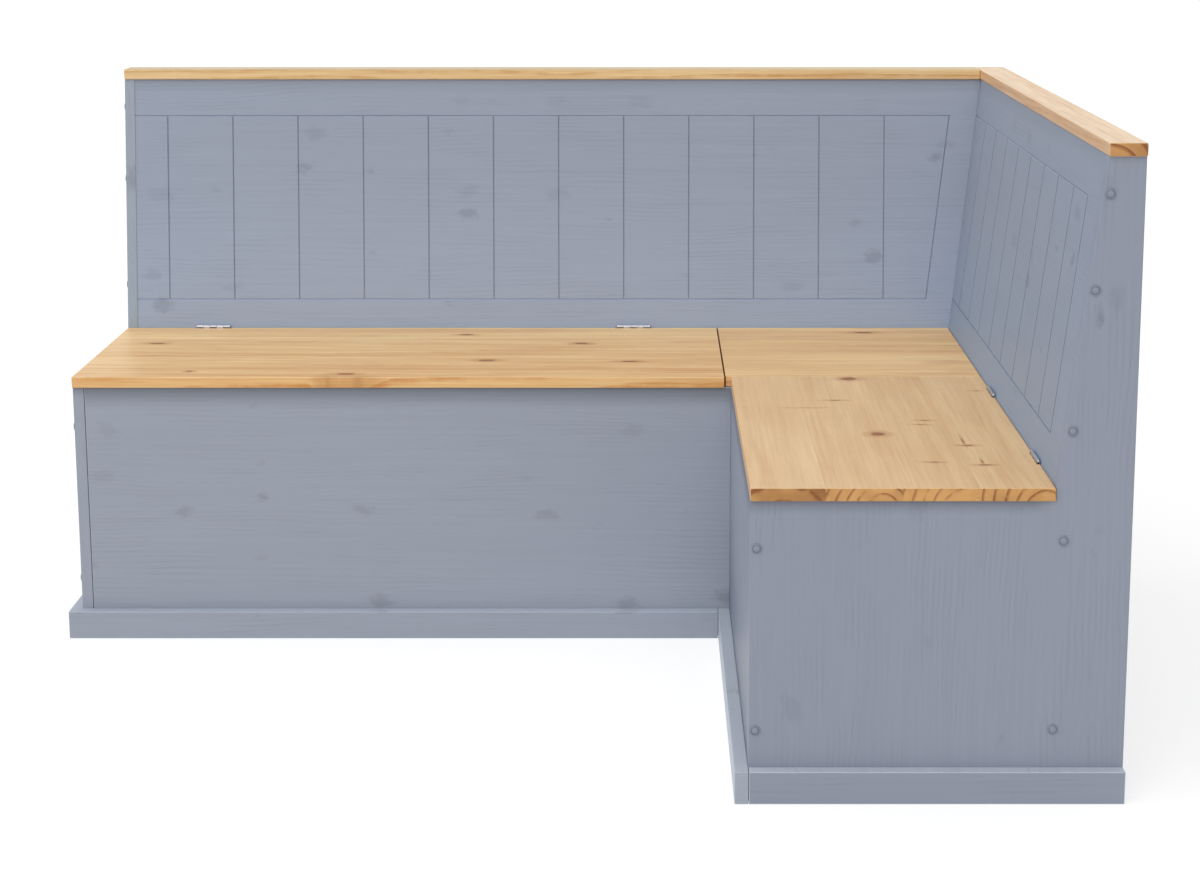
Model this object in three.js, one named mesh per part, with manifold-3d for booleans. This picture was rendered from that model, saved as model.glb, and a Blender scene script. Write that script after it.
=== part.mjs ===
// Corner storage bench: two box seats that meet in a corner, each with a lift-up lid and a
// leaning, grooved backrest. Painted pine boards, with clear-lacquered pine seats and cap rails.
// Millimetres, +Z up. Each arm is laid out in its own frame: x runs along the arm away from
// the corner of the room behind the bench, y comes out from the wall, and z is up.
import * as THREE from 'three';
import { ConvexGeometry } from 'three/addons/geometries/ConvexGeometry.js';
import { mergeVertices } from 'three/addons/utils/BufferGeometryUtils.js';
import Module from 'manifold-3d';

const wasm = await Module();
wasm.setup();

// The bench as a whole. Distances out are measured from the wall behind the arm.
const leftArmLength = 1586;
const rightArmLength = 1195;
const benchHeight = 902;
const seatHeight = 440;
const frontDistance = 511.5;
const seatRearDistance = 104.5;

// Board sizes, and how far their edges are eased.
const boardThickness = 18;
const seatThickness = 18;
const floorThickness = 10;
const capThickness = 18;
const capWidth = 50.5;
const leftCapWidth = 54;
const capLip = 0.7;
const capOverhang = 6;
const plinthHeight = 46;
const plinthThickness = 19;
const paintedArris = 1;
const pineArris = 2;

// The fixed seat in the corner passes the right box's face and stops short of the left one's.
// The left lid stands proud of its box's front, and the right lid of its box's end.
const cornerSeatOverhang = 9;
const cornerSeatInset = 3.5;
const lidOverhang = 5;

// Clearances.
const seatGap = 1;
const leftLidGap = 2;
const rightLidGap = 1;
const backrestRecess = 1;
const floorGap = 1;
const cleatGap = 2;
const fitGap = 0.3;
const overrun = 5;

// Battens under the lids, and the cleats that carry the corner seat and the box floors.
const battenWidth = 45;
const battenThickness = 18;
const battenWallGap = 25;
const battenPlaceShares = [0.2, 0.8];
const cleatSize = 20;
const cleatLift = 10;

// Grooves routed in the backrests.
const grooveWidth = 2.8;
const levelGrooveDepth = 2.2;
const uprightGrooveDepth = 2;
const grooveLowerHeight = 491;
const grooveUpperHeight = 819;
const groovePitch = 117.1;
const grooveCornerMargin = 47;
const rightGrooveStart = 180;
const rightGrooveEndMargin = 79;

// Connector bolts through the end panels, each with a domed cover cap.
const boltCapRadius = 7.3;
const boltCapHeight = 2.4;
const boltShaftRadius = 2.5;
const boltBite = 40;
const backrestBoltShares = [0.173, 0.601, 0.889];
const rearBoltShares = [0.237, 0.867];
const frontBoltShares = [0.233, 0.842];
const rearBoltStagger = 3;
const boltSides = 14;
const boltDomeSteps = 3;

// Butt hinges, let into notches in the lids' rear edges.
const hingeLength = 60;
const hingeBarrelRadius = 2.5;
const hingePinRadius = 1.2;
const hingePinClearance = 0.1;
const hingePinHeadHeight = 0.8;
const hingeLeafThickness = 1.2;
const hingeLeafDrop = 16;
const hingeKnuckleGap = 0.3;
const hingeKnuckles = 5;
const hingeSides = 16;
const hingeLift = 0.2;
const hingeNotchGap = 3;
const hingeEndInset = 155;
const leftHingeCornerInset = 150;
const rightHingeCornerInset = 121;

// Worked out from the sizes above: heights, and distances out from the wall.
const seatUnderside = seatHeight - seatThickness;
const capUnderside = benchHeight - capThickness;
const rearFace = seatRearDistance - seatGap;
const rearBack = rearFace - boardThickness;
const frontInside = frontDistance - boardThickness;
const plinthFace = frontDistance + plinthThickness;
const leanTop = capWidth - capLip;
const leanSlope = (rearFace - leanTop) / (capUnderside - seatHeight);
const leanAngle = Math.atan(leanSlope);
const floorHeight = cleatLift + cleatSize;
const leftCornerEdge = frontDistance + cornerSeatOverhang;
const rightCornerEdge = frontDistance - cornerSeatInset;
const pinOut = rearFace + hingeBarrelRadius;
const pinHeight = seatHeight + hingeBarrelRadius + hingeLift;

// Finishes. Every piece gets a material of its own.
const paintedPine = () => new THREE.MeshStandardMaterial({ color: '#969eae', roughness: 0.5 });
const lacqueredPine = () => new THREE.MeshStandardMaterial({ color: '#d8b07c', roughness: 0.4 });
const barePine = () => new THREE.MeshStandardMaterial({ color: '#dcc39a', roughness: 0.75 });
const zincSteel = () => new THREE.MeshStandardMaterial({ color: '#b9bcc2', roughness: 0.35, metalness: 1 });

// A closed geometry as a solid that can be joined and cut.
function solidOf(geometry) {
  const bare = geometry.clone();
  bare.deleteAttribute('normal');
  bare.deleteAttribute('uv');
  const merged = mergeVertices(bare);
  return new wasm.Manifold(new wasm.Mesh({
    numProp: 3,
    vertProperties: merged.attributes.position.array,
    triVerts: new Uint32Array(merged.index.array),
  }));
}

// A solid as a flat-shaded geometry.
function geometryOf(solid) {
  const mesh = solid.getMesh();
  const geometry = new THREE.BufferGeometry();
  geometry.setAttribute('position', new THREE.BufferAttribute(mesh.vertProperties, mesh.numProp));
  geometry.setIndex(new THREE.BufferAttribute(mesh.triVerts, 1));
  const flat = geometry.toNonIndexed();
  flat.computeVertexNormals();
  return flat;
}

function joined(geometries) {
  return geometryOf(geometries.map(solidOf).reduce((whole, piece) => whole.add(piece)));
}

function cut(geometry, cutters) {
  const whole = solidOf(geometry);
  return geometryOf(cutters.map(solidOf).reduce((left, cutter) => left.subtract(cutter), whole));
}

// A plain block between two values on each axis.
function block([x0, x1], [y0, y1], [z0, z1]) {
  return new THREE.BoxGeometry(x1 - x0, y1 - y0, z1 - z0)
    .translate((x0 + x1) / 2, (y0 + y1) / 2, (z0 + z1) / 2);
}

// A board between two values on each axis, with its twelve edges eased by the arris.
function easedBoard(x, y, z, arris) {
  const spans = [x, y, z];
  const points = [];
  for (let corner = 0; corner < 2 ** spans.length; corner++) {
    spans.forEach((_, face) => {
      points.push(new THREE.Vector3(...spans.map(([low, high], axis) => {
        const inset = axis === face ? 0 : arris;
        return (corner >> axis) % 2 ? high - inset : low + inset;
      })));
    });
  }
  return new ConvexGeometry(points);
}

// A round bar along x between two values.
function rod([x0, x1], radius, segments) {
  return new THREE.CylinderGeometry(radius, radius, x1 - x0, segments)
    .rotateZ(Math.PI / 2)
    .translate((x0 + x1) / 2, 0, 0);
}

// Distance out from the wall of the backrest's line at a height above the seat.
function leanAt(z) {
  return rearFace - (z - seatHeight) * leanSlope;
}

// Height of a share of the way up from one level to another.
function heightAt(share, from, to) {
  return from + share * (to - from);
}

// What differs between the two arms.
const leftArm = {
  name: 'left',
  length: leftArmLength,
  frontPanelStart: frontDistance,
  rearPanelStart: rearBack,
  plinthStart: plinthFace,
  partitionMiddle: leftCornerEdge + leftLidGap / 2,
  lidSpan: [leftCornerEdge + leftLidGap, leftArmLength],
  lidFront: frontDistance + lidOverhang,
  capSpan: [capWidth, leftArmLength],
  capWidth: leftCapWidth,
  cornerCleatStart: rearFace + cleatGap,
  hingeCornerInset: leftHingeCornerInset,
  group: new THREE.Group(),
};
const rightArm = {
  name: 'right',
  length: rightArmLength,
  frontPanelStart: frontInside,
  rearPanelStart: rearFace,
  plinthStart: frontDistance,
  partitionMiddle: rightCornerEdge + rightLidGap / 2,
  lidSpan: [rightCornerEdge + rightLidGap, rightArmLength + lidOverhang],
  lidFront: frontDistance,
  capSpan: [0, rightArmLength + capOverhang],
  capWidth,
  cornerCleatStart: rearFace + cleatSize + cleatGap,
  hingeCornerInset: rightHingeCornerInset,
  group: new THREE.Group(),
};
const arms = [leftArm, rightArm];
for (const arm of arms) {
  arm.panelEnd = arm.length - boardThickness;
  arm.partition = [arm.partitionMiddle - boardThickness / 2, arm.partitionMiddle + boardThickness / 2];
  arm.hinges = [arm.lidSpan[0] + arm.hingeCornerInset, arm.length - hingeEndInset];
}

// The arms' frames in the bench. The right arm's is the left one's mirror image.
leftArm.group.rotation.z = Math.PI;
rightArm.group.rotation.z = Math.PI / 2;
rightArm.group.scale.x = -1;

function addPiece(group, name, geometry, material) {
  const mesh = new THREE.Mesh(geometry, material);
  mesh.name = name;
  group.add(mesh);
  return mesh;
}

// Where an end panel's bolts go in, as distance out and height: into the backrest, the rear
// panel and the front panel, each in the middle of the board's thickness.
const leanThickness = boardThickness / Math.cos(leanAngle);
const boltPlaces = [
  ...backrestBoltShares.map((share) => {
    const z = heightAt(share, seatHeight, capUnderside);
    return [leanAt(z) - backrestRecess - leanThickness / 2, z];
  }),
  ...rearBoltShares.map((share, i) => {
    const stagger = i === 0 ? rearBoltStagger : -rearBoltStagger;
    return [rearFace - boardThickness / 2 + stagger, heightAt(share, 0, seatUnderside)];
  }),
  ...frontBoltShares.map((share) => [
    frontDistance - boardThickness / 2, heightAt(share, 0, seatUnderside),
  ]),
];

// The holes that those bolts pass through and bite into.
function boltHoles(arm) {
  const span = [arm.panelEnd - boltBite - fitGap, arm.length + overrun];
  return boltPlaces.map(([y, z]) => rod(span, boltShaftRadius + fitGap, boltSides).translate(0, y, z));
}

// An end panel: the box's side below the seat, and above it a cheek that leans with the backrest.
function endPanel(arm) {
  const outline = new THREE.Shape([
    [0, 0],
    [frontDistance, 0],
    [frontDistance, seatUnderside],
    [rearFace, seatUnderside],
    [rearFace, seatHeight],
    [leanTop, capUnderside],
    [0, capUnderside],
  ].map(([y, z]) => new THREE.Vector2(y, z)));
  const slab = new THREE.ExtrudeGeometry(outline, {
    depth: boardThickness - 2 * paintedArris,
    bevelThickness: paintedArris,
    bevelSize: paintedArris,
    bevelOffset: -paintedArris,
    bevelSegments: 1,
  });
  const standing = new THREE.Matrix4().makeBasis(
    new THREE.Vector3(0, 1, 0), new THREE.Vector3(0, 0, 1), new THREE.Vector3(1, 0, 0));
  slab.applyMatrix4(standing).translate(arm.panelEnd + paintedArris, 0, 0);
  return cut(slab, boltHoles(arm));
}

// A V-shaped groove in the backrest's face between two points given along the arm and up. Its
// cutter is a four-sided bar twice as wide and deep, whose middle is as far out as it cuts in.
function groove([x0, z0], [x1, z1], depth) {
  const start = new THREE.Vector3(x0, leanAt(z0) - backrestRecess, z0);
  const end = new THREE.Vector3(x1, leanAt(z1) - backrestRecess, z1);
  const faceNormal = new THREE.Vector3(0, Math.cos(leanAngle), Math.sin(leanAngle));
  const direction = end.clone().sub(start).normalize();
  const across = direction.clone().cross(faceNormal);
  const middle = start.clone().lerp(end, 0.5).addScaledVector(faceNormal, depth);
  return new THREE.CylinderGeometry(1, 1, 1, 4)
    .scale(grooveWidth, start.distanceTo(end), 2 * depth)
    .applyMatrix4(new THREE.Matrix4().makeBasis(across, direction, faceNormal))
    .translate(middle.x, middle.y, middle.z);
}

// The upright grooves' places along each arm.
function uprightGrooves(arm) {
  const places = [];
  if (arm === leftArm) {
    const first = rearFace + grooveCornerMargin + groovePitch / 2;
    for (let x = arm.panelEnd - groovePitch / 2; x > first; x -= groovePitch) places.push(x);
  } else {
    const last = arm.panelEnd - rightGrooveEndMargin - groovePitch / 2;
    for (let x = rightGrooveStart; x < last; x += groovePitch) places.push(x);
  }
  return places;
}

// All of a backrest's grooves: two level ones, the upright ones between them, and one that closes
// the pattern. That one leans beside the corner on the left, and is upright near the right end.
function grooves(arm) {
  const heights = [grooveLowerHeight, grooveUpperHeight];
  const isLeft = arm === leftArm;
  const closing = heights.map((z) => [
    isLeft ? leanAt(z) + grooveCornerMargin : arm.panelEnd - rightGrooveEndMargin, z,
  ]);
  const level = closing.map(([x, z]) => (isLeft
    ? groove([x - grooveWidth / 2, z], [arm.panelEnd + overrun, z], levelGrooveDepth)
    : groove([0, z], [x + grooveWidth / 2, z], levelGrooveDepth)));
  const upright = [closing, ...uprightGrooves(arm).map((x) => heights.map((z) => [x, z]))]
    .map(([low, high]) => groove(low, high, uprightGrooveDepth));
  return [...level, ...upright];
}

// A backrest: a leaning board that stands on the rear panel, mitred where the two arms meet.
function backrest(arm) {
  const mitreGap = fitGap / Math.SQRT2;
  const points = [];
  for (const z of [seatHeight, capUnderside]) {
    const face = leanAt(z) - backrestRecess;
    for (const y of [face, face - leanThickness]) {
      points.push(new THREE.Vector3(y + mitreGap, y, z), new THREE.Vector3(arm.panelEnd, y, z));
    }
  }
  return cut(new ConvexGeometry(points), [...grooves(arm), ...boltHoles(arm)]);
}

// The fixed boards of each arm.
for (const arm of arms) {
  const { name, group, length, panelEnd, partition } = arm;
  const boxHeight = [0, seatUnderside];
  const inside = [rearFace, frontInside];
  const rearPanel = easedBoard([arm.rearPanelStart, panelEnd], [rearBack, rearFace], [0, seatHeight],
    paintedArris);
  const frontPanel = easedBoard([arm.frontPanelStart, panelEnd], [frontInside, frontDistance], boxHeight,
    paintedArris);
  addPiece(group, `${name}_end_panel`, endPanel(arm), paintedPine());
  addPiece(group, `${name}_front_panel`, cut(frontPanel, boltHoles(arm)), paintedPine());
  addPiece(group, `${name}_rear_panel`, cut(rearPanel, boltHoles(arm)), paintedPine());
  addPiece(group, `${name}_partition_panel`, easedBoard(partition, inside, boxHeight, paintedArris),
    paintedPine());
  addPiece(group, `${name}_backrest_panel`, backrest(arm), paintedPine());
  addPiece(group, `${name}_cap_rail`,
    easedBoard(arm.capSpan, [0, arm.capWidth], [capUnderside, benchHeight], pineArris), lacqueredPine());

  // The plinth goes round the foot of the box: the front strip covers the end strip's end.
  addPiece(group, `${name}_front_plinth`,
    easedBoard([arm.plinthStart, length + plinthThickness], [frontDistance, plinthFace], [0, plinthHeight],
      paintedArris), paintedPine());
  addPiece(group, `${name}_end_plinth`,
    easedBoard([length, length + plinthThickness], [0, frontDistance], [0, plinthHeight], paintedArris),
    paintedPine());

  // The box's floor lies on two cleats fixed along the front and rear panels.
  const floorSpan = [partition[1] + floorGap, panelEnd - floorGap];
  addPiece(group, `${name}_floor_panel`,
    easedBoard(floorSpan, [rearFace + floorGap, frontInside - floorGap],
      [floorHeight, floorHeight + floorThickness], paintedArris), barePine());
  const cleatPlaces = {
    rear: [rearFace, rearFace + cleatSize],
    front: [frontInside - cleatSize, frontInside],
  };
  for (const [place, y] of Object.entries(cleatPlaces)) {
    addPiece(group, `${name}_${place}_floor_cleat`,
      easedBoard(floorSpan, y, [cleatLift, floorHeight], paintedArris), barePine());
  }

  // A cleat along the rear panel carries the corner seat's rear edge.
  addPiece(group, `${name}_corner_cleat`,
    easedBoard([arm.cornerCleatStart, partition[0] - cleatGap], [rearFace, rearFace + cleatSize],
      [seatUnderside - cleatSize, seatUnderside], paintedArris), barePine());
}

// The fixed seat board in the corner rests on both boxes' partitions and on the corner cleats.
addPiece(leftArm.group, 'corner_seat_board',
  easedBoard([seatRearDistance, leftCornerEdge], [seatRearDistance, rightCornerEdge],
    [seatUnderside, seatHeight], pineArris), lacqueredPine());

// A lid covers its box. Two battens under it keep it flat, and its rear edge is notched for the
// hinges.
for (const arm of arms) {
  const lid = new THREE.Group();
  arm.group.add(lid);
  arm.lid = lid;
  const board = easedBoard(arm.lidSpan, [seatRearDistance, arm.lidFront], [seatUnderside, seatHeight],
    pineArris);
  const halfNotch = hingeLength / 2 + hingeNotchGap;
  const notches = arm.hinges.map((x) => block([x - halfNotch, x + halfNotch],
    [seatRearDistance - overrun, pinOut + hingeBarrelRadius],
    [seatUnderside - overrun, seatHeight + overrun]));
  addPiece(lid, `${arm.name}_seat_lid`, cut(board, notches), lacqueredPine());
  battenPlaceShares.forEach((share, i) => {
    const middle = heightAt(share, arm.partition[1], arm.panelEnd);
    addPiece(lid, `${arm.name}_lid_batten_${i + 1}`,
      easedBoard([middle - battenWidth / 2, middle + battenWidth / 2],
        [rearFace + battenWallGap, frontInside - battenWallGap],
        [seatUnderside - battenThickness, seatUnderside], paintedArris), barePine());
  });
}

// A hinge leaf about its pin: a plate that hangs beside the pin, and every other knuckle of the
// barrel. The fixed leaf is towards the wall and has the outer knuckles; the lid leaf has the rest.
function hingeLeaf(isFixed) {
  const halfLength = hingeLength / 2;
  const knuckleLength = hingeLength / hingeKnuckles;
  const plateY = isFixed
    ? [-hingeBarrelRadius, hingeLeafThickness - hingeBarrelRadius]
    : [hingeBarrelRadius - hingeLeafThickness, hingeBarrelRadius];
  const plateHeight = [seatHeight - hingeLeafDrop - pinHeight, 0];
  const pieces = [block([-halfLength, halfLength], plateY, plateHeight)];
  const cutters = [rod([-hingeLength, hingeLength], hingePinRadius + hingePinClearance, hingeSides)];
  for (let i = 0; i < hingeKnuckles; i++) {
    const isOwn = isFixed === (i % 2 === 0);
    const trim = isOwn ? hingeKnuckleGap / 2 : -hingeKnuckleGap / 2;
    const start = i * knuckleLength - halfLength + trim;
    const end = (i + 1) * knuckleLength - halfLength - trim;
    if (isOwn) pieces.push(rod([start, end], hingeBarrelRadius, hingeSides));
    else cutters.push(rod([start, end], hingeBarrelRadius + hingeKnuckleGap, hingeSides));
  }
  return cut(joined(pieces), cutters);
}

// A hinge pin with a small domed head at each end.
function hingePin() {
  const halfLength = hingeLength / 2 + hingeKnuckleGap / 2;
  const headRadius = hingeBarrelRadius - hingeLeafThickness / 2;
  const top = halfLength + hingePinHeadHeight;
  return new THREE.LatheGeometry([
    [0, -top],
    [headRadius / 2, -top],
    [headRadius, -halfLength],
    [hingePinRadius, -halfLength],
    [hingePinRadius, halfLength],
    [headRadius, halfLength],
    [headRadius / 2, top],
    [0, top],
  ].map(([radius, y]) => new THREE.Vector2(radius, y)), hingeSides).rotateZ(Math.PI / 2);
}

// Two hinges to a lid. Their pins lie just above the seat, in line along the rear edge.
for (const arm of arms) {
  arm.hinges.forEach((x, i) => {
    const hinge = `${arm.name}_hinge_${i + 1}`;
    const pieces = [
      addPiece(arm.group, `${hinge}_fixed_leaf`, hingeLeaf(true), zincSteel()),
      addPiece(arm.group, `${hinge}_pin`, hingePin(), zincSteel()),
      addPiece(arm.lid, `${hinge}_lid_leaf`, hingeLeaf(false), zincSteel()),
    ];
    for (const piece of pieces) piece.position.set(x, pinOut, pinHeight);
  });
}

// A connector bolt with its domed cover cap, which sits on the end panel's outer face.
function cappedBolt() {
  const profile = [
    [0, -boardThickness - boltBite],
    [boltShaftRadius, -boardThickness - boltBite],
    [boltShaftRadius, 0],
    [boltCapRadius, 0],
  ];
  for (let i = 1; i < boltDomeSteps; i++) {
    const angle = (i / boltDomeSteps) * Math.PI / 2;
    profile.push([boltCapRadius * Math.cos(angle), boltCapHeight * Math.sin(angle)]);
  }
  profile.push([0, boltCapHeight]);
  return new THREE.LatheGeometry(profile.map(([radius, y]) => new THREE.Vector2(radius, y)), boltSides)
    .rotateZ(-Math.PI / 2);
}
for (const arm of arms) {
  boltPlaces.forEach(([y, z], i) => {
    addPiece(arm.group, `${arm.name}_end_bolt_${i + 1}`, cappedBolt(), paintedPine())
      .position.set(arm.length, y, z);
  });
}

// The whole stands with the middle of its floor outline at the origin.
const bench = new THREE.Group();
bench.name = 'corner_storage_bench';
for (const arm of arms) {
  arm.group.position.set((leftArmLength + plinthThickness) / 2, (rightArmLength + plinthThickness) / 2, 0);
  bench.add(arm.group);
}

export default bench;
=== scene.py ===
import math

import bpy
from mathutils import Matrix, Vector


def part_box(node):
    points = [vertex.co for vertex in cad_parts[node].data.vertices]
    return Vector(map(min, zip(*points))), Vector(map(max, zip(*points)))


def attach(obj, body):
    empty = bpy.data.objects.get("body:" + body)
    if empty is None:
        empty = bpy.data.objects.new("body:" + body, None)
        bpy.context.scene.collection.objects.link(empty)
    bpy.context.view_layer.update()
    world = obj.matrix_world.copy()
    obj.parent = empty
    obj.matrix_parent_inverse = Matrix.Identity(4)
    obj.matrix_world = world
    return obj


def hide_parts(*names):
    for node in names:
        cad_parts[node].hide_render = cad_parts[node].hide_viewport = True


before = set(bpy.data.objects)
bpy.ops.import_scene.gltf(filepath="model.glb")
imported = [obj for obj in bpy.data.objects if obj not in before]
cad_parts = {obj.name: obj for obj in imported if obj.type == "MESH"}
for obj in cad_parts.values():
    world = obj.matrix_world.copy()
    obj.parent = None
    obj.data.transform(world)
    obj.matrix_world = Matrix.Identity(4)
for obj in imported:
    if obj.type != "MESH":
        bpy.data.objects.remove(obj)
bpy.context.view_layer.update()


# The plinth is four strips of painted pine round the foot of the two boxes, with eased edges.
# Their tops and eased edges are painted paler as painted light, and so are the whole right front
# strip and its end. They are pinned to the boards behind them. The front strips cover the ends of
# the end strips, and their joints show as dark lines.

class Reading:
    """A number or vector of a finish. Sums done on it become nodes of that finish."""

    def __init__(self, finish, source):
        self.finish = finish
        self.source = source

    def beside(self, name):
        """Another output of the node that this reading comes from."""
        return Reading(self.finish, self.source.node.outputs[name])

    def worked(self, operation, *values):
        return self.finish.node("ShaderNodeMath", {"operation": operation}, values)

    def __add__(self, other):
        return self.worked("ADD", self, other)

    __radd__ = __add__

    def __sub__(self, other):
        return self.worked("SUBTRACT", self, other)

    def __rsub__(self, other):
        return self.worked("SUBTRACT", other, self)

    def __mul__(self, other):
        return self.worked("MULTIPLY", self, other)

    __rmul__ = __mul__

    def __truediv__(self, other):
        return self.worked("DIVIDE", self, other)

    def __pow__(self, other):
        return self.worked("POWER", self, other)

    def __abs__(self):
        return self.worked("ABSOLUTE", self)

    def least(self, other):
        return self.worked("MINIMUM", self, other)

    def most(self, other):
        return self.worked("MAXIMUM", self, other)

    def whole(self):
        """The whole number at or below the reading."""
        return self.worked("FLOOR", self)

    def fraction(self):
        """What the reading has above its whole number, from 0 to 1."""
        return self.worked("FRACT", self)

    def eased(self, start, end, low=0.0, high=1.0):
        """Goes from low to high as the reading goes from start to end, with soft ends."""
        return self.finish.node("ShaderNodeMapRange", {"interpolation_type": "SMOOTHSTEP"},
                                {"Value": self, "From Min": start, "From Max": end,
                                 "To Min": low, "To Max": high})


class Finish:
    """A material being made up: what is brushed on or left bare, as nodes."""

    def __init__(self, name):
        self.material = bpy.data.materials.new(name)
        self.material.use_nodes = True
        self.tree = self.material.node_tree
        self.coat = self.tree.nodes["Principled BSDF"]

    def feed(self, socket, value):
        if isinstance(value, Reading):
            self.tree.links.new(value.source, socket)
        else:
            socket.default_value = value

    def node(self, kind, settings, sockets, output=0):
        """Adds a node: its settings first, then its sockets' values or links."""
        made = self.tree.nodes.new(kind)
        for name, value in settings.items():
            setattr(made, name, value)
        pairs = sockets.items() if isinstance(sockets, dict) else enumerate(sockets)
        for name, value in pairs:
            self.feed(made.inputs[name], value)
        return Reading(self, made.outputs[output])

    def place(self):
        """Where a point of the piece is, in metres in the bench's frame."""
        return self.node("ShaderNodeTexCoord", {}, {}, output=3)

    def spread(self, vector):
        """A vector's or colour's three readings."""
        first = self.node("ShaderNodeSeparateXYZ", {}, [vector])
        return [Reading(self, out) for out in first.source.node.outputs]

    def blended(self, share, first, second):
        """Goes from the first colour to the second by a share."""
        return self.node("ShaderNodeMix", {"data_type": "RGBA"},
                         {0: share, 6: first, 7: second}, output=2)

    def vector(self, operation, first, second):
        return self.node("ShaderNodeVectorMath", {"operation": operation}, [first, second])

    def noise(self, place, scale, detail=2.0, roughness=0.5):
        """Cloudy noise from 0 to 1, drawn out along the axes where scale is small."""
        return self.node("ShaderNodeTexNoise", {},
                         {"Vector": self.vector("MULTIPLY", place, scale), "Scale": 1.0,
                          "Detail": detail, "Roughness": roughness})

    def scaled(self, colour, share):
        """A colour made lighter or darker by a share."""
        vector = colour if isinstance(colour, Reading) else colour[:3]
        return self.node("ShaderNodeVectorMath", {"operation": "SCALE"},
                         {"Vector": vector, "Scale": share})

    def show(self, name, value):
        self.feed(self.coat.inputs[name], value)

    def raise_by(self, height, depth, strength):
        """Gives the surface a fine relief: its pattern, how deep it is, and how strong."""
        self.show("Normal", self.node("ShaderNodeBump", {}, {
            "Strength": strength, "Distance": depth, "Height": height}))


def tint(code):
    """A colour as written on a paint card, such as 989EAA, for a shader socket."""
    parts = [int(code[i:i + 2], 16) / 255 for i in (0, 2, 4)]
    return (*[((p + 0.055) / 1.055) ** 2.4 if p > 0.04045 else p / 12.92 for p in parts], 1.0)


def along_grain(grain, along, across, deep):
    """The three scales of a pattern in X, Y, Z order. grain names the axes along the grain,
    across the board and through it, such as XYZ."""
    return tuple(value for axis, value in sorted(zip(grain, (along, across, deep))))


def painted_pine(name, grain, colour, shadow_band=None, painted_light_tint=None, back=None, grooves=None):
    """Satin blue-grey paint on pine. The grain stands up through it in patches, and knots show
    as faint smudges. shadow_band is a painted shadow under an overhang: the overhang's height,
    how far down the paint is darkened, by what share, and where it stops across the board.
    painted_light_tint is painted light and shade on the front: the height below which its colour
    goes more and more to another one, the height down to which that goes on, and that colour.
    back is the colour of the board's back. grooves is painted shade and painted light in the
    grooves: how light the paint is in the upright grooves, in the low level one and in the high
    one, where 1 is as light as the face."""
    ring_width = 0.0078
    shadow_band_edge = 0.001
    stop_width = 0.03
    painted_light_end = 0.04
    between_level_grooves = (0.6, 0.7)
    finish = Finish(name)
    place = finish.place()
    axes = dict(zip("XYZ", finish.spread(place)))
    along, across, deep = [axes[axis] for axis in grain]
    fibre = finish.noise(place, along_grain(grain, 4.0, 170.0, 170.0), 3.0, 0.6)
    cloud = finish.noise(place, along_grain(grain, 1.5, 8.0, 8.0))
    wander = finish.noise(place, along_grain(grain, 1.3, 6.0, 6.0)) * 0.06
    flutter = finish.noise(place, along_grain(grain, 16.0, 50.0, 50.0)) * 0.007
    ring = ((across + deep * 0.3 + wander + flutter) / ring_width).fraction()
    patch = finish.noise(place, along_grain(grain, 8.0, 26.0, 26.0), 3.0).eased(0.46, 0.64)
    ridge = ring.eased(0.5, 0.85) * ring.eased(1.0, 0.9) * patch

    # Knots under the paint: one in each cell of a net, many of them too small to show.
    net = finish.node("ShaderNodeTexVoronoi", {"voronoi_dimensions": "2D"}, {
        "Vector": finish.node("ShaderNodeCombineXYZ", {}, [along * 7.0, across * 12.0]),
        "Scale": 1.0})
    size, depth = finish.spread(net.beside("Color"))[:2]
    ragged = finish.noise(place, along_grain(grain, 45.0, 110.0, 110.0), 4.0, 0.7) * 0.4 - 0.2
    knot = (size.eased(0.25, 1.0, 0.0, 0.2) - net - ragged).eased(0.0, 0.13) * (depth + 0.25)

    shade = 1.0 + (fibre - 0.5) * 0.13 + (cloud - 0.5) * 0.09 - ridge * 0.06 - knot * 0.17
    # Painted shadow: below an overhang the paint is darkened in a band, which can stop across the
    # board.
    if shadow_band:
        height, reach, shadow_share, *stop = shadow_band
        painted_shadow = (axes["Z"].eased(height - reach, height)
                  * axes["Z"].eased(height + shadow_band_edge, height))
        if stop:
            painted_shadow = painted_shadow * across.eased(stop[0], stop[0] - stop_width)
        shade = shade * (1.0 - painted_shadow * shadow_share)
    paint = tint(colour)
    facing = dict(zip("XYZ", finish.spread(place.beside("Normal"))))
    # Painted light and shade: below a height the front's colour goes towards another one.
    if painted_light_tint:
        top, foot, painted_light_colour = painted_light_tint
        share = (axes["Z"].eased(top, foot) * axes["Z"].eased(foot - painted_light_end, foot)
                 * facing[grain[2]].eased(0.3, -0.3))
        paint = finish.blended(share, paint, tint(painted_light_colour))
    if back:
        paint = finish.blended(facing[grain[2]].eased(-0.3, 0.3), paint, tint(back))
    # Painted shade and painted light: the grooves' walls, told by their facing, are darkened or
    # lightened.
    if grooves:
        in_upright, in_low, in_high = grooves
        in_level = axes["Z"].eased(*between_level_grooves, in_low, in_high)
        shade = shade * abs(facing[grain[0]]).eased(0.3, 0.7, 1.0, in_upright)
        shade = shade * abs(facing["Z"]).eased(0.3, 0.7, 1.0, in_level)
    finish.show("Base Color", finish.scaled(paint, shade))
    finish.show("Roughness", 0.46 + (cloud - 0.5) * 0.14 + knot * 0.06)
    finish.raise_by(fibre * 0.5 + ridge * 0.8 - knot, depth=0.0003, strength=0.35)
    finish.show("Specular IOR Level", 0.25)
    return finish.material


def rough_board(name, low, high):
    """A sawn board between two corners."""
    bpy.ops.object.select_all(action="DESELECT")
    bpy.ops.mesh.primitive_cube_add(size=1, location=(low + high) / 2, scale=high - low)
    board = bpy.context.object
    board.name = name
    bpy.ops.object.transform_apply(location=True, rotation=True, scale=True)
    return board


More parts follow.
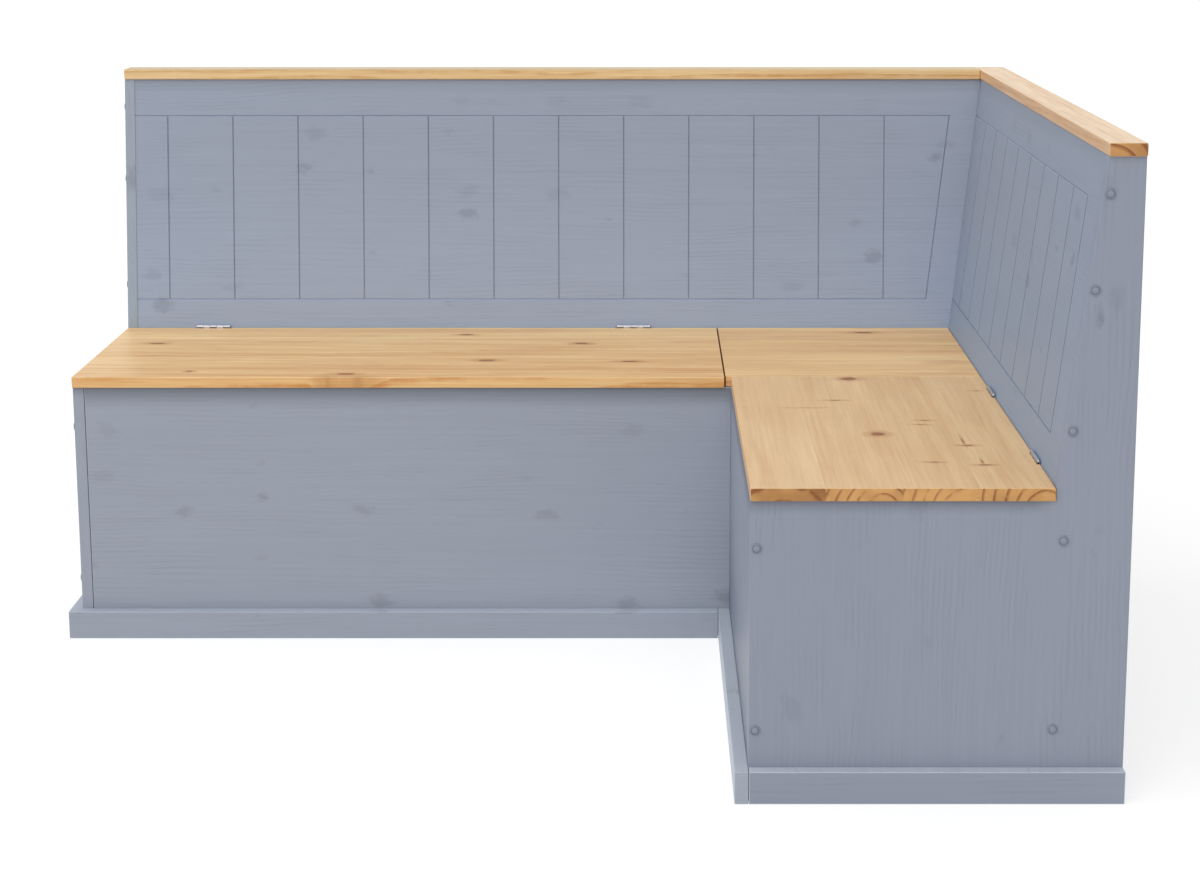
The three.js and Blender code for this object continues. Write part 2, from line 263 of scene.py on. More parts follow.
def eased(board, arris, *finishes):
    """Rounds a board's sharp edges and gives them the last of its finishes. Its faces have the
    first one, unless a later line gives them another."""
    for finish in finishes:
        board.data.materials.append(finish)
    bpy.ops.object.select_all(action="DESELECT")
    bpy.context.view_layer.objects.active = board
    board.select_set(True)
    bpy.ops.object.shade_smooth()
    rounding = board.modifiers.new("arris", "BEVEL")
    rounding.width = arris
    rounding.segments = 3
    rounding.limit_method = "ANGLE"
    rounding.angle_limit = math.radians(30)
    rounding.material = len(finishes) - 1
    rounding.harden_normals = True
    bpy.ops.object.modifier_apply(modifier=rounding.name)
    return board


def fitted(piece, node, body):
    """The piece stands for a node of the frame, which it hides, and rides with its body."""
    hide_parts(node)
    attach(piece, body)


painted_arris = 0.001
joint_gap = 0.0007
seat_underside = 0.422
# Painted shadow: the boxes' paint is darkened in a band under the lids' edges.
shadow_under_lid = (seat_underside, 0.04, 0.42)
# A face is square on to a direction if its normal goes this share along it.
square_on = 0.9
box_paint = {
    "left": painted_pine("paint on the left box", "XZY", "959BA7", shadow_under_lid),
    "right": painted_pine("paint on the right box", "YZX", "8B919F", shadow_under_lid),
}
across_paint = {
    "left": painted_pine("paint across the left box", "YZX", "959BA7"),
    "right": painted_pine("paint across the right box", "XZY", "8B919F"),
}
# Painted light: paler paint for the strips' tops and eased edges, and for the right front strip
# and its end.
lit_plinth_paint = {
    "left": painted_pine("paint with painted light on the left plinth", "XZY", "ACB3C0"),
    "right": painted_pine("paint with painted light on the right plinth", "YZX", "B1B8C3"),
}
lit_strip_paint = painted_pine("paint lightened as painted light on the right front strip", "YZX", "B0B7C3")
end_paint = painted_pine("paint on the right front strip's end", "YZX", "9CA3AE")

for arm, place, paint in (("left", "front", box_paint["left"]), ("right", "front", lit_strip_paint),
                          ("left", "end", across_paint["left"]),
                          ("right", "end", across_paint["right"])):
    node = f"{arm}_{place}_plinth"
    low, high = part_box(node)
    if (arm, place) == ("left", "front"):
        high -= Vector((joint_gap, 0, 0))
    elif place == "end":
        low += Vector((0, joint_gap, 0) if arm == "left" else (joint_gap, 0, 0))
    strip = eased(rough_board(f"{node}_strip", low, high), painted_arris, paint, end_paint,
                  lit_plinth_paint[arm])
    for face in strip.data.polygons:
        if face.normal.z > square_on:
            face.material_index = 2
        elif face.normal.y < -square_on and (arm, place) == ("right", "front"):
            face.material_index = 1
    fitted(strip, node, "bench")


# Each box has a front panel that runs from its end panel to the corner, glued up from pine and
# painted on both faces. It is dowelled to the end panel, and the joint shows as a dark line.
# The paint of the right one is darker towards its foot, as painted shade.

arms = ("left", "right")
# Painted highlight: the eased edges are painted lighter than the faces.
highlit_arris_paint = {
    "left": painted_pine("paint on the left box's eased edges", "XZY", "9EA5B2"),
    "right": painted_pine("paint on the right box's eased edges", "YZX", "979EAB"),
}
front_paint = {
    "left": box_paint["left"],
    "right": painted_pine("paint on the right box's front", "YZX", "8B919F", shadow_under_lid,
                          painted_light_tint=(0.25, 0.05, "737C8C")),
}

for arm in arms:
    node = f"{arm}_front_panel"
    low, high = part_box(node)
    low += Vector((joint_gap, 0, 0)) if arm == "left" else Vector((0, joint_gap, 0))
    panel = eased(rough_board(f"{node}_board", low, high), painted_arris, front_paint[arm],
                  highlit_arris_paint[arm])
    fitted(panel, node, "bench")


# An end panel closes each box and carries on above the seat as a cheek that leans with the
# backrest. It is one board with upright grain, sawn to its outline, eased all round and painted.
# seat_rear and cheek_top are how far its front edge is from the wall at the seat and at the top.

seat_rear = 0.1035
cheek_top = 0.0498
seat_height = 0.440
hair = 0.0001
# Painted shadow: the end panels' paint is darkened in a band under the lids' edges.
upright_paint = {
    "left": painted_pine("paint on the left end panel", "ZYX", "959BA7",
                         (seat_underside, 0.022, 0.3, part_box("left_seat_lid")[1].y)),
    "right": painted_pine("paint on the right end panel", "ZXY", "8B919F",
                          (seat_underside, 0.022, 0.3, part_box("right_seat_lid")[1].x)),
}
# Painted light: the cheeks' front edges are painted cooler towards the seat, against the warm
# light from the seat.
cheek_edge_paint = {
    "left": painted_pine("paint on the left end panel's edges", "ZXY", "959DAB",
                         painted_light_tint=(0.86, seat_height, "97A4B3")),
    "right": painted_pine("paint on the right end panel's edges", "ZXY", "8B96A9",
                          painted_light_tint=(0.86, seat_height, "8796AF")),
}


def edit(board):
    """Opens a board for shaping with nothing on it selected."""
    bpy.ops.object.select_all(action="DESELECT")
    bpy.context.view_layer.objects.active = board
    board.select_set(True)
    bpy.ops.object.mode_set(mode="EDIT")
    bpy.ops.mesh.select_all(action="DESELECT")


def pick(board, kind, wanted):
    """Selects only the vertices or faces for which wanted(place, normal) is true."""
    bpy.ops.mesh.select_all(action="DESELECT")
    bpy.ops.mesh.select_mode(type=kind)
    bpy.ops.object.mode_set(mode="OBJECT")
    for part in board.data.vertices if kind == "VERT" else board.data.polygons:
        part.select = wanted(part.co if kind == "VERT" else part.center, part.normal)
    bpy.ops.object.mode_set(mode="EDIT")


def end_panel(arm):
    """A box side with its leaning cheek."""
    node = f"{arm}_end_panel"
    low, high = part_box(node)
    from_wall = Vector((0, -1, 0)) if arm == "left" else Vector((-1, 0, 0))
    board = rough_board(f"{node}_board", low, Vector((*high.xy, seat_underside)))
    cheek_face = high + from_wall * seat_rear
    edit(board)
    bpy.ops.mesh.select_all(action="SELECT")
    bpy.ops.mesh.bisect(plane_co=cheek_face, plane_no=from_wall)
    pick(board, "FACE", lambda place, normal: normal.z > square_on
         and (place - cheek_face).dot(from_wall) < 0)
    for rise in (seat_height - seat_underside, high.z - seat_height):
        bpy.ops.mesh.extrude_region_move(TRANSFORM_OT_translate={"value": (0, 0, rise)})
    pick(board, "VERT", lambda place, normal: place.z > high.z - hair
         and (place - high).dot(from_wall) > cheek_top)
    bpy.ops.transform.translate(value=from_wall * (cheek_top - seat_rear))
    bpy.ops.mesh.select_all(action="SELECT")
    bpy.ops.mesh.normals_make_consistent(inside=False)
    bpy.ops.object.mode_set(mode="OBJECT")
    eased(board, painted_arris, upright_paint[arm], cheek_edge_paint[arm], upright_paint[arm])
    for face in board.data.polygons:
        if face.normal.dot(from_wall) > square_on and face.center.z > seat_height:
            face.material_index = 1
    fitted(board, node, "bench")


for arm in arms:
    end_panel(arm)


# The rear panels and the partitions at the boxes' inner ends are painted boards like the
# fronts, and are seen inside a box when its lid is up. They keep the frame's plain shape.

for arm in arms:
    for place, paint in (("rear", box_paint), ("partition", across_paint)):
        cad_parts[f"{arm}_{place}_panel"].material_slots[0].material = paint[arm]


# Each backrest is a painted board that leans back from the seat to the cap rail, with level and
# upright V-grooves routed in its face. It keeps the frame's shape, which has them. Its paint is
# darker or lighter in the grooves as painted shade and painted light, cooler towards the seat as
# painted light against the seat's warm light, and darker under the cap rail as a painted shadow.

# Painted shadow under the cap rail.
shadow_under_cap = (0.884, 0.03, 0.12)
grooved_paint = {
    "left": painted_pine("paint on the left backrest", "XZY", "929BAC", shadow_under_cap,
                         painted_light_tint=(0.80, seat_height, "98A5BB"), back="959BA7",
                         grooves=(1.0, 1.25, 1.25)),
    "right": painted_pine("paint on the right backrest", "YZX", "8E98AA", shadow_under_cap,
                          painted_light_tint=(0.72, seat_height, "8A9CB4"), back="8B919F",
                          grooves=(0.45, 0.85, 1.2)),
}

for arm in arms:
    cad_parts[f"{arm}_backrest_panel"].material_slots[0].material = grooved_paint[arm]


# A cap rail of clear-lacquered pine lies on each backrest and its end panel, with all its edges
# rounded. The right one runs into the corner and the left one butts against it. The first
# stave of each was sawn narrower, by stave_cut.

def lacquered_pine(name, grain, middle, stave, start, early, late, figure, knots=(), seed=0,
                   painted_top_shade=0.0):
    """Edge-glued pine under clear lacquer. middle is the board's middle, and staves are stave
    wide, counted from start across the board. early and late are the light and dark wood, and
    figure is how strongly they streak. A knot is its place along and across, half its length
    along and across, and how deep it lies, where 0 is at the surface. painted_top_shade is how
    much darker the top is painted than the edges, as painted shade. seed picks the staves."""
    finish = Finish(name)
    place = finish.place()
    axes = dict(zip("XYZ", finish.spread(place)))
    facing = dict(zip("XYZ", finish.spread(place.beside("Normal"))))
    along, across, deep = [axes[axis] for axis in grain]
    deep = deep - middle["XYZ".index(grain[2])]

    # Each stave has its own heart, ring width, slope and warmth.
    count = (across - start) / stave
    number = count.whole()
    chance = finish.node("ShaderNodeTexWhiteNoise", {"noise_dimensions": "1D"},
                         {"W": number + 0.5 + seed}, output=1)
    first, second, third = finish.spread(chance)
    from_heart = (count - number - 0.5 - (first - 0.5) * 1.2) * stave
    shift = finish.node("ShaderNodeCombineXYZ", {}, [first * 9.0, second * 9.0, third * 9.0])
    moved = finish.vector("ADD", place, shift)

    # The nearest knot bends the rings round it.
    knot = None
    ragged = finish.noise(place, (90.0, 90.0, 90.0)) * 1.1 + 0.45
    for knot_along, knot_across, half_along, half_across, sunk in knots:
        away = (((along - knot_along) / half_along) ** 2
                + ((across - knot_across) / half_across) ** 2) * ragged + sunk
        knot = away if knot is None else knot.least(away)
    wander = (finish.noise(moved, along_grain(grain, 1.8, 8.0, 8.0)) - 0.5) * 0.034
    flutter = (finish.noise(moved, along_grain(grain, 16.0, 60.0, 60.0)) - 0.5) * 0.003
    heart_depth = second * 0.05 + 0.014
    ring_width = second * 0.006 + 0.0085
    ring = ((from_heart ** 2 + (deep + heart_depth) ** 2) ** 0.5
            + along * ((third - 0.5) * 0.05) + wander + flutter)
    if knot is not None:
        ring = ring + knot.eased(9.0, 0.3) * 0.005
    phase = (ring / ring_width).fraction()
    cloud = finish.noise(moved, along_grain(grain, 2.6, 12.0, 12.0))
    dark_ring = (phase.eased(0.4, 0.9) * phase.eased(1.0, 0.93)
                 * finish.noise(moved, (30.0, 30.0, 30.0)).eased(0.3, 0.6, 0.35, 1.0))

    # The face is streaked along the grain, and the sawn ends show the rings as arcs.
    streak = finish.noise(moved, along_grain(grain, 6.0, 300.0, 300.0), 4.0, 0.7)
    band = finish.noise(moved, along_grain(grain, 1.3, 48.0, 48.0), 4.0, 0.65)
    end_grain = abs(facing[grain[0]]).eased(0.6, 0.85)
    # The side faces get warmer wood and stronger rings than the top: partly their edge grain,
    # partly painted shade standing for the sheen that the top has.
    edge = (1.0 - abs(facing["Z"])).eased(0.3, 0.8)
    share = (0.36 + dark_ring * (edge * 0.2 + 0.14 * figure)
             + (streak - 0.5) * 0.9 * figure + (band - 0.5) * 0.85 * figure
             + (cloud - 0.5) * 0.55 + (first - 0.5) * 0.28)
    wood = finish.blended(share.most(0.0).least(1.0), tint(early), tint(late))
    wood = finish.blended((edge * 0.24 + third ** 3 * 0.3).least(1.0), wood, tint("BA7830"))
    sawn_ring_width = second * 0.010 + 0.0145
    sawn_phase = (ring / sawn_ring_width).fraction()
    sawn_ring = (sawn_phase.eased(0.6, 0.9) * sawn_phase.eased(1.0, 0.93)
                 * finish.noise(moved, (40.0, 40.0, 40.0)).eased(0.36, 0.56))
    stain = finish.noise(moved, (24.0, 24.0, 24.0), 3.0) - 0.5
    sawn = 0.30 + sawn_ring * 0.75 + stain * 1.5 + (second - 0.5) * 0.5
    wood = finish.blended(end_grain * 0.92, wood, finish.blended(
        sawn.most(0.0).least(1.0), tint("CA975A"), tint("7C4208")))
    if knot is not None:
        wood = finish.blended(knot.eased(8.0, 1.0) * 0.38, wood, tint("B0702F"))
        wood = finish.blended(knot.eased(1.5, 0.5) * 0.85, wood, tint("8A4E18"))
    # Painted shade: the top is darkened against the edges.
    if painted_top_shade:
        wood = finish.scaled(wood, facing["Z"].eased(0.3, 0.8, 1.0, 1.0 - painted_top_shade))
    wear = finish.noise(place, (30.0, 30.0, 30.0), 3.0, 0.6)
    finish.show("Base Color", wood)
    finish.show("Roughness", 0.42 + (wear - 0.5) * 0.16 - dark_ring * 0.05)
    finish.raise_by(streak * 0.6 + dark_ring * 0.5, depth=0.0002, strength=0.3)
    finish.show("Specular IOR Level", 0.32)
    finish.show("Coat Weight", 0.08)
    finish.show("Coat Roughness", 0.28)
    return finish.material


rail_arris = 0.002
lid_arris = 0.0012
stave_cut = 0.02
rails = {
    "left": dict(grain="XYZ", stave=0.12, early="F3DDAC", late="C09056", figure=1.5, seed=3,
                 painted_top_shade=0.3),
    "right": dict(grain="YXZ", stave=0.12, early="F5E2C2", late="C79A60", figure=1.6, seed=8),
}

for arm in arms:
    node = f"{arm}_cap_rail"
    low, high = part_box(node)
    start = (low.y if arm == "left" else low.x) - stave_cut
    pine = lacquered_pine(f"lacquered pine of the {arm} cap rail", middle=(low + high) / 2,
                          start=start, **rails[arm])
    rail = eased(rough_board(f"{node}_board", low, high), rail_arris, pine)
    fitted(rail, node, "bench")


# The seat in the corner is one fixed board, glued up from staves that run along the left arm.
# It rests on the boxes' partitions and on cleats, and is lacquered like the lids.

low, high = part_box("corner_seat_board")
corner_pine = lacquered_pine(
    "lacquered pine of the corner seat", "XYZ", middle=(low + high) / 2, stave=0.098,
    start=low.y - stave_cut, early="FBDAA0", late="C78A4C", figure=1.2, seed=21,
    knots=((0.54, 0.458, 0.016, 0.006, 0), (0.66, 0.205, 0.030, 0.012, 3)))
corner_seat = eased(rough_board("corner_seat", low, high), lid_arris, corner_pine)
fitted(corner_seat, "corner_seat_board", "bench")


# Each box has a lift-up lid, glued up from pine staves along its arm and lacquered. Its rear
# edge is notched for two hinges, and all its edges are rounded. Its knots lie where the
# photograph shows them.

notch_length = 0.066
notch_depth = 0.004
overcut = 0.01
lid_knots = {
    "left": (
        (-0.70, 0.362, 0.014, 0.005, 0), (-0.60, 0.135, 0.006, 0.004, 0),
        (-0.34, 0.115, 0.015, 0.006, 0), (-0.366, 0.0905, 0.013, 0.007, 1.2),
        (-0.317, 0.0905, 0.022, 0.007, 1.15), (-0.167, 0.440, 0.012, 0.005, 0),
        (-0.116, 0.221, 0.014, 0.007, 0), (0.04, 0.362, 0.012, 0.006, 0),
        (0.125, 0.213, 0.014, 0.005, 0)),
    "right": (
        (0.078, 0.481, 0.010, 0.013, 0), (-0.076, 0.446, 0.003, 0.012, 0.5),
        (-0.126, 0.399, 0.002, 0.020, 1), (-0.293, 0.491, 0.010, 0.010, 0),
        (-0.208, 0.570, 0.0025, 0.010, 0.5), (-0.235, 0.561, 0.0025, 0.008, 0.5),
        (-0.360, 0.612, 0.0035, 0.009, 0.2), (-0.335, 0.609, 0.022, 0.0015, 0.4),
        (-0.455, 0.552, 0.003, 0.010, 0.5), (-0.470, 0.622, 0.0035, 0.010, 0.2),
        (-0.452, 0.620, 0.012, 0.0015, 0.4), (-0.009, 0.675, 0.002, 0.007, 0.4)),
}
lids = {
    "left": dict(grain="XYZ", stave=0.104, start=0.086, early="FFE0A5", late="C98B4A",
                 figure=1.25, seed=40),
    "right": dict(grain="YXZ", stave=0.103, start=0.288, early="F9DDAD", late="C48D52",
                  figure=0.6, seed=63),
}


def chiselled(board, low, high):
    """Cuts a block between two corners out of a board."""
    waste = rough_board("waste", low, high)
    notch = board.modifiers.new("notch", "BOOLEAN")
    notch.object = waste
    notch.operation = "DIFFERENCE"
    notch.solver = "EXACT"
    bpy.ops.object.select_all(action="DESELECT")
    bpy.context.view_layer.objects.active = board
    bpy.ops.object.modifier_apply(modifier=notch.name)
    bpy.data.objects.remove(waste)


for arm in arms:
    node = f"{arm}_seat_lid"
    low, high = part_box(node)
    board = rough_board(f"{node}_board", low, high)
    for number in (1, 2):
        pin_low, pin_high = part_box(f"{arm}_hinge_{number}_pin")
        pin = (pin_low + pin_high) / 2
        notch_low, notch_high = low - Vector((0, 0, overcut)), high + Vector((0, 0, overcut))
        if arm == "left":
            notch_low.xy = pin.x - notch_length / 2, high.y - notch_depth
            notch_high.xy = pin.x + notch_length / 2, high.y + overcut
        else:
            notch_low.xy = high.x - notch_depth, pin.y - notch_length / 2
            notch_high.xy = high.x + overcut, pin.y + notch_length / 2
        chiselled(board, notch_low, notch_high)
    pine = lacquered_pine(f"lacquered pine of the {arm} lid", middle=(low + high) / 2,
                          knots=lid_knots[arm], **lids[arm])
    eased(board, lid_arris, pine)
    fitted(board, node, f"{arm}_lid")


# Unfinished pine is used where shut lids hide it: for the boxes' floors, the cleats that carry
# them and the corner seat, and the battens screwed across under each lid to keep it flat.

def bare_pine(name, grain):
    """Planed pine with no finish on it."""
    finish = Finish(name)
    place = finish.place()
    ring_width = 0.0042
    cloud = finish.noise(place, along_grain(grain, 1.5, 16.0, 16.0))
    axes = dict(zip("XYZ", finish.spread(place)))
    phase = ((cloud * 0.03 + axes[grain[1]] + axes[grain[2]] * 0.6) / ring_width).fraction()
    late = phase.eased(0.3, 0.9) * phase.eased(1.0, 0.93)
    streak = finish.noise(place, along_grain(grain, 6.0, 300.0, 300.0), 3.0, 0.65)
    share = late * 0.35 + streak * 0.3 + cloud * 0.15
    finish.show("Base Color", finish.blended(share, tint("E6D0A8"), tint("C39C66")))
    finish.show("Roughness", streak * 0.15 + 0.66)
    finish.raise_by(streak + late * 0.4, depth=0.0003, strength=0.35)
    return finish.material


bare = {
    "left": bare_pine("bare pine along the left arm", "XYZ"),
    "right": bare_pine("bare pine along the right arm", "YXZ"),
}

for arm, across in (("left", "right"), ("right", "left")):
    for place in ("floor_panel", "rear_floor_cleat", "front_floor_cleat", "corner_cleat"):
        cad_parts[f"{arm}_{place}"].material_slots[0].material = bare[arm]
    for number in (1, 2):
        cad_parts[f"{arm}_lid_batten_{number}"].material_slots[0].material = bare[across]


# Each lid turns on two zinc-plated steel butt hinges. A hinge is two pressed leaves whose
# knuckles interlock round a pin with a domed head at each end. Countersunk screws hold the
# leaves to the rear panel and to the lid's edge.

def zinc_steel(name, colour):
    """Bright zinc plate on pressed steel, slightly clouded and scratched."""
    finish = Finish(name)
    place = finish.place()
    cloud = finish.noise(place, (300.0, 300.0, 300.0), 3.0, 0.6)
    scratch = finish.noise(place, (1500.0, 1500.0, 120.0), 2.0, 0.6)
    finish.show("Base Color", finish.blended(cloud, tint(colour), tint("9FA2A8")))
    finish.show("Roughness", scratch * 0.2 + cloud * 0.1 + 0.28)
    finish.raise_by(scratch, depth=0.00005, strength=0.2)
    finish.show("Metallic", 1.0)
    return finish.material


hinge_length = 0.060
knuckles = 5
knuckle_gap = 0.0003
knuckle_sides = 32
barrel_radius = 0.0025
pin_radius = 0.0012
leaf_thickness = 0.0012
leaf_drop = 0.0187
leaf_arris = 0.0002
pin_half = hinge_length / 2 + knuckle_gap / 2
pin_head_radius = barrel_radius - leaf_thickness / 2
pin_dome_height = 0.0008
pin_dome_shoulder = 0.0006
pin_dome_tip = 0.0004
screw_spacing = 0.022
screw_drop = 0.0105
screw_outline = ((0.0013, -0.0010), (0.0026, 0.0), (0.0024, 0.00025), (0.0012, 0.00035))
recess_middle = Vector((0, 0, 0.0003))
recess_reach = 0.0014
recess_half_width = 0.00025
recess_half_depth = 0.0005
round_sides = 24
zinc = zinc_steel("zinc-plated steel", "C6C5C8")
pin_zinc = zinc_steel("zinc-plated pin", "B6B8BD")


def hinge_leaf(is_fixed):
    """One leaf about its pin, which lies along X. The fixed leaf is towards +Y."""
    side = 1 if is_fixed else -1
    near, far = sorted((side * (barrel_radius - leaf_thickness), side * barrel_radius))
    leaf = rough_board("leaf", Vector((-hinge_length / 2, near, -leaf_drop)),
                       Vector((hinge_length / 2, far, 0)))
    length = hinge_length / knuckles
    parts = [leaf]
    for number in range(knuckles):
        start = number * length - hinge_length / 2 + knuckle_gap / 2
        if is_fixed == (number % 2 == 0):
            bpy.ops.object.select_all(action="DESELECT")
            bpy.ops.mesh.primitive_cylinder_add(
                vertices=knuckle_sides, radius=barrel_radius, depth=length - knuckle_gap,
                location=(start + (length - knuckle_gap) / 2, 0, 0), rotation=(0, math.pi / 2, 0))
            parts.append(bpy.context.object)
        else:
            chiselled(leaf, Vector((start - knuckle_gap, -overcut, -barrel_radius - knuckle_gap)),
                      Vector((start + length, overcut, overcut)))
    for part in parts:
        part.select_set(True)
    bpy.context.view_layer.objects.active = leaf
    bpy.ops.object.join()
    bpy.ops.object.transform_apply(location=True, rotation=True, scale=True)
    return eased(leaf, leaf_arris, zinc)


def turned(name, profile, sides):
    """A turned shape about Z: a disc drawn up through each (radius, height) in turn."""
    bpy.ops.object.select_all(action="DESELECT")
    radius, height = profile[0]
    bpy.ops.mesh.primitive_circle_add(vertices=sides, radius=radius, fill_type="NGON",
                                      location=(0, 0, height))
    shape = bpy.context.object
    shape.name = name
    bpy.ops.object.transform_apply(location=True, rotation=True, scale=True)
    bpy.ops.object.mode_set(mode="EDIT")
    bpy.ops.mesh.select_all(action="SELECT")
    for next_radius, next_height in profile[1:]:
        bpy.ops.mesh.extrude_region_move(
            TRANSFORM_OT_translate={"value": (0, 0, next_height - height)})
        bpy.ops.transform.resize(value=(next_radius / radius, next_radius / radius, 1),
                                 center_override=(0, 0, next_height))
        radius, height = next_radius, next_height
    bpy.ops.mesh.select_all(action="SELECT")
    bpy.ops.mesh.normals_make_consistent(inside=False)
    bpy.ops.object.mode_set(mode="OBJECT")
    bpy.ops.object.shade_smooth_by_angle(angle=math.radians(35))
    return shape


def copied(pattern, name, place, turn=(0, 0, 0)):
    """A copy of a pattern made about the origin, set in its place."""
    bpy.ops.object.select_all(action="DESELECT")
    pattern.select_set(True)
    bpy.context.view_layer.objects.active = pattern
    bpy.ops.object.duplicate()
    copy = bpy.context.object
    copy.name = name
    copy.location = place
    copy.rotation_euler = turn
    bpy.ops.object.transform_apply(location=True, rotation=True, scale=True)
    return copy


def screw_head():
    """A countersunk screw's head with a cross recess, facing +Z."""
    head = turned("screw", screw_outline, round_sides)
    for half in (Vector((recess_reach, recess_half_width, recess_half_depth)),
                 Vector((recess_half_width, recess_reach, recess_half_depth))):
        chiselled(head, recess_middle - half, recess_middle + half)
    head.data.materials.append(pin_zinc)
    return head


half_pin = ((pin_radius, pin_half), (pin_head_radius, pin_half),
            (pin_head_radius * 0.6, pin_half + pin_dome_shoulder),
            (pin_dome_tip, pin_half + pin_dome_height))
pin_pattern = turned("pin", (*((radius, -height) for radius, height in reversed(half_pin)),
                             *half_pin), round_sides)
pin_pattern.data.materials.append(pin_zinc)
leaf_patterns = {"fixed": hinge_leaf(True), "lid": hinge_leaf(False)}
screw_pattern = screw_head()

for arm in arms:
    turn = 0 if arm == "left" else -math.pi / 2
    for number in (1, 2):
        hinge = f"{arm}_hinge_{number}"
        low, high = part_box(f"{hinge}_pin")
        place = (low + high) / 2
        pin = copied(pin_pattern, f"{hinge}_pin_turned", place, (0, math.pi / 2, turn))
        fitted(pin, f"{hinge}_pin", "bench")
        for kind, pattern in leaf_patterns.items():
            body = "bench" if kind == "fixed" else f"{arm}_lid"
            leaf = copied(pattern, f"{hinge}_{kind}_leaf_pressed", place, (0, 0, turn))
            fitted(leaf, f"{hinge}_{kind}_leaf", body)
            side = 1 if kind == "fixed" else -1
            for index, shift in enumerate((-screw_spacing, 0, screw_spacing)):
                spot = Matrix.Rotation(turn, 3, "Z") @ Vector((
                    shift, side * (barrel_radius - leaf_thickness), -screw_drop))
                screw = copied(screw_pattern, f"{hinge}_{kind}_screw_{index + 1}", place + spot,
                               (side * math.pi / 2, 0, turn))
                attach(screw, body)

for pattern in (pin_pattern, screw_pattern, *leaf_patterns.values()):
    bpy.data.objects.remove(pattern)


# Connector bolts go through each end panel into the backrest, the rear panel and the front
# panel. A moulded cover cap in the paint's colour hides each head: a domed middle in a ring.
# The groove between them and the cap's foot are painted darker, as painted shade.

def cap_plastic(name, dark, light):
    """Moulded plastic, faintly mottled."""
    finish = Finish(name)
    place = finish.place()
    mottle = finish.noise(place, (260.0, 260.0, 260.0), 3.0, 0.6)
    finish.show("Base Color", finish.blended(mottle, tint(dark), tint(light)))
    finish.show("Roughness", mottle * 0.14 + 0.5)
    finish.raise_by(mottle, depth=0.0001, strength=0.15)
    return finish.material


shaft_length = 0.058
shaft_radius = 0.0025
cap_radius = 0.0073
cap_height = 0.0024
foot_height = 0.0009
groove_inside = 0.0048
groove_outside = 0.0058
cap_sides = 36
bolts_in_end = 7
bolt_pattern = turned("bolt", (
    (shaft_radius, -shaft_length), (shaft_radius, 0), (cap_radius, 0), (cap_radius, foot_height),
    (0.0070, 0.0015), (0.0064, 0.0018), (groove_outside, 0.0016), (0.0053, 0.0009),
    (groove_inside, 0.0014), (0.0040, 0.0020), (0.0024, 0.0023), (0.0006, cap_height)), cap_sides)
bolt_pattern.data.materials.append(cap_plastic("cover cap", "7A818F", "838A98"))
bolt_pattern.data.materials.append(cap_plastic("painted shade in the cap's groove", "68707C", "767D8A"))
# Painted shade: the groove and the foot get the darker finish.
for face in bolt_pattern.data.polygons:
    radius = face.center.xy.length
    if face.center.z < foot_height or groove_inside < radius < groove_outside:
        face.material_index = 1

for arm in arms:
    for number in range(1, bolts_in_end + 1):
        node = f"{arm}_end_bolt_{number}"
        low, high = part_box(node)
        middle = (low + high) / 2
        if arm == "left":
            place, turn = (low.x + cap_height, middle.y, middle.z), (0, -math.pi / 2, 0)
        else:
            place, turn = (middle.x, low.y + cap_height, middle.z), (math.pi / 2, 0, 0)
        bolt = copied(bolt_pattern, f"{node}_capped", place, turn)
        fitted(bolt, node, "bench")

bpy.data.objects.remove(bolt_pattern)


# The bench stands on a white studio floor that runs out of sight, in even light from all round,
# with broad lamps in front and at the left, and weak ones overhead and behind. The floor and the
# sky are white to the camera and in gloss, and the floor keeps part of the bench's shadow.

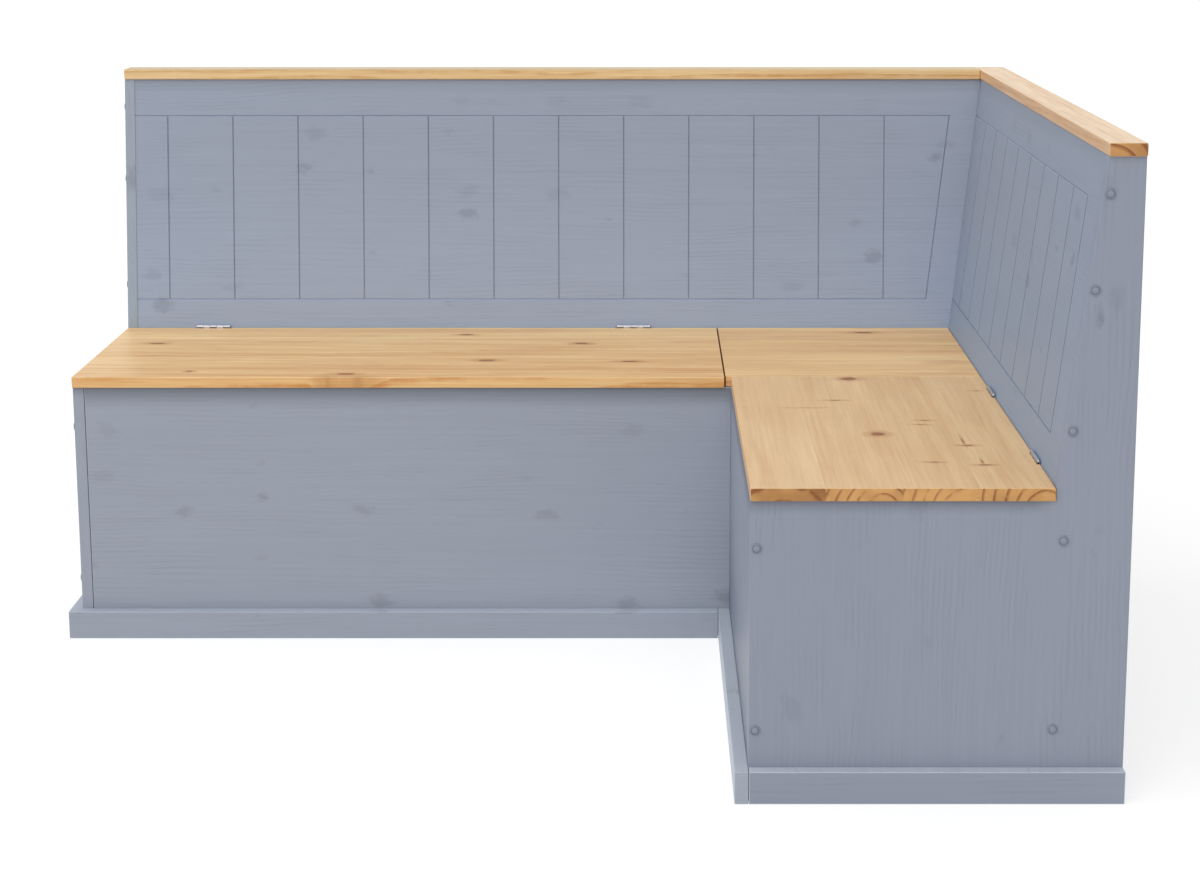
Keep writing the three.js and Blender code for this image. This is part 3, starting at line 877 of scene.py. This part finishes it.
light_level = 0.4
floor_across = 60
glow_strength = 1.2
glow_share = 0.55
lamp_width = 60
lamp_height = 3
world = bpy.data.worlds.new("studio")
world.use_nodes = True
bpy.context.scene.world = world
sky = world.node_tree
path = sky.nodes.new("ShaderNodeLightPath")
seen = sky.nodes.new("ShaderNodeMath")
seen.operation = "MAXIMUM"
sky.links.new(path.outputs["Is Camera Ray"], seen.inputs[0])
sky.links.new(path.outputs["Is Glossy Ray"], seen.inputs[1])
brightness = sky.nodes.new("ShaderNodeMapRange")
brightness.inputs["To Min"].default_value = light_level
brightness.inputs["To Max"].default_value = 1.0
sky.links.new(seen.outputs[0], brightness.inputs["Value"])
sky.links.new(brightness.outputs[0], sky.nodes["Background"].inputs["Strength"])
sky.nodes["Background"].inputs["Color"].default_value = (1.0, 1.0, 1.0, 1.0)

bpy.ops.object.select_all(action="DESELECT")
bpy.ops.mesh.primitive_plane_add(size=floor_across, location=(0, 0, 0))
floor = bpy.context.object
floor.name = "studio_floor"
paper = Finish("white studio floor")
lights = paper.node("ShaderNodeLightPath", {}, {})
glossy = lights.beside("Is Glossy Ray")
paper.show("Base Color", tint("F2F2F2"))
paper.show("Roughness", 0.9)
paper.show("Specular IOR Level", 0.0)
glow = paper.node("ShaderNodeEmission", {},
                  {"Color": (1.0, 1.0, 1.0, 1.0), "Strength": glow_strength})
mixed = paper.node("ShaderNodeMixShader", {}, {
    0: lights.most(glossy) * glow_share, 1: Reading(paper, paper.coat.outputs[0]), 2: glow})
paper.tree.links.new(mixed.source, paper.tree.nodes["Material Output"].inputs["Surface"])
floor.data.materials.append(paper.material)

lamps = {
    "front_lamp": (1.45, 35, -20),
    "left_lamp": (0.84, 40, -90),
    "overhead_lamp": (0.35, 85, 0),
    "back_lamp": (0.38, 25, 135),
}
for name, (strength, height, side) in lamps.items():
    bpy.ops.object.light_add(type="SUN", location=(0, 0, lamp_height), rotation=(
        math.radians(90 - height), 0, math.radians(side)))
    lamp = bpy.context.object
    lamp.name = name
    lamp.data.energy = strength
    lamp.data.angle = math.radians(lamp_width)


# The camera stands about where the photograph was taken from, in front of the bench and above
# its backs, and looks slightly down.

looking_down = 10.41
bpy.ops.object.camera_add(location=(0.1495, -3.5074, 1.2378),
                          rotation=(math.radians(90 - looking_down), 0, 0))
camera = bpy.context.object
camera.data.lens = 67.87
camera.data.shift_x = -0.0369
camera.data.shift_y = -0.12
camera.data.clip_start = 0.1
camera.data.clip_end = 100
bpy.context.scene.camera = camera
bpy.context.scene.view_settings.view_transform = "Standard"
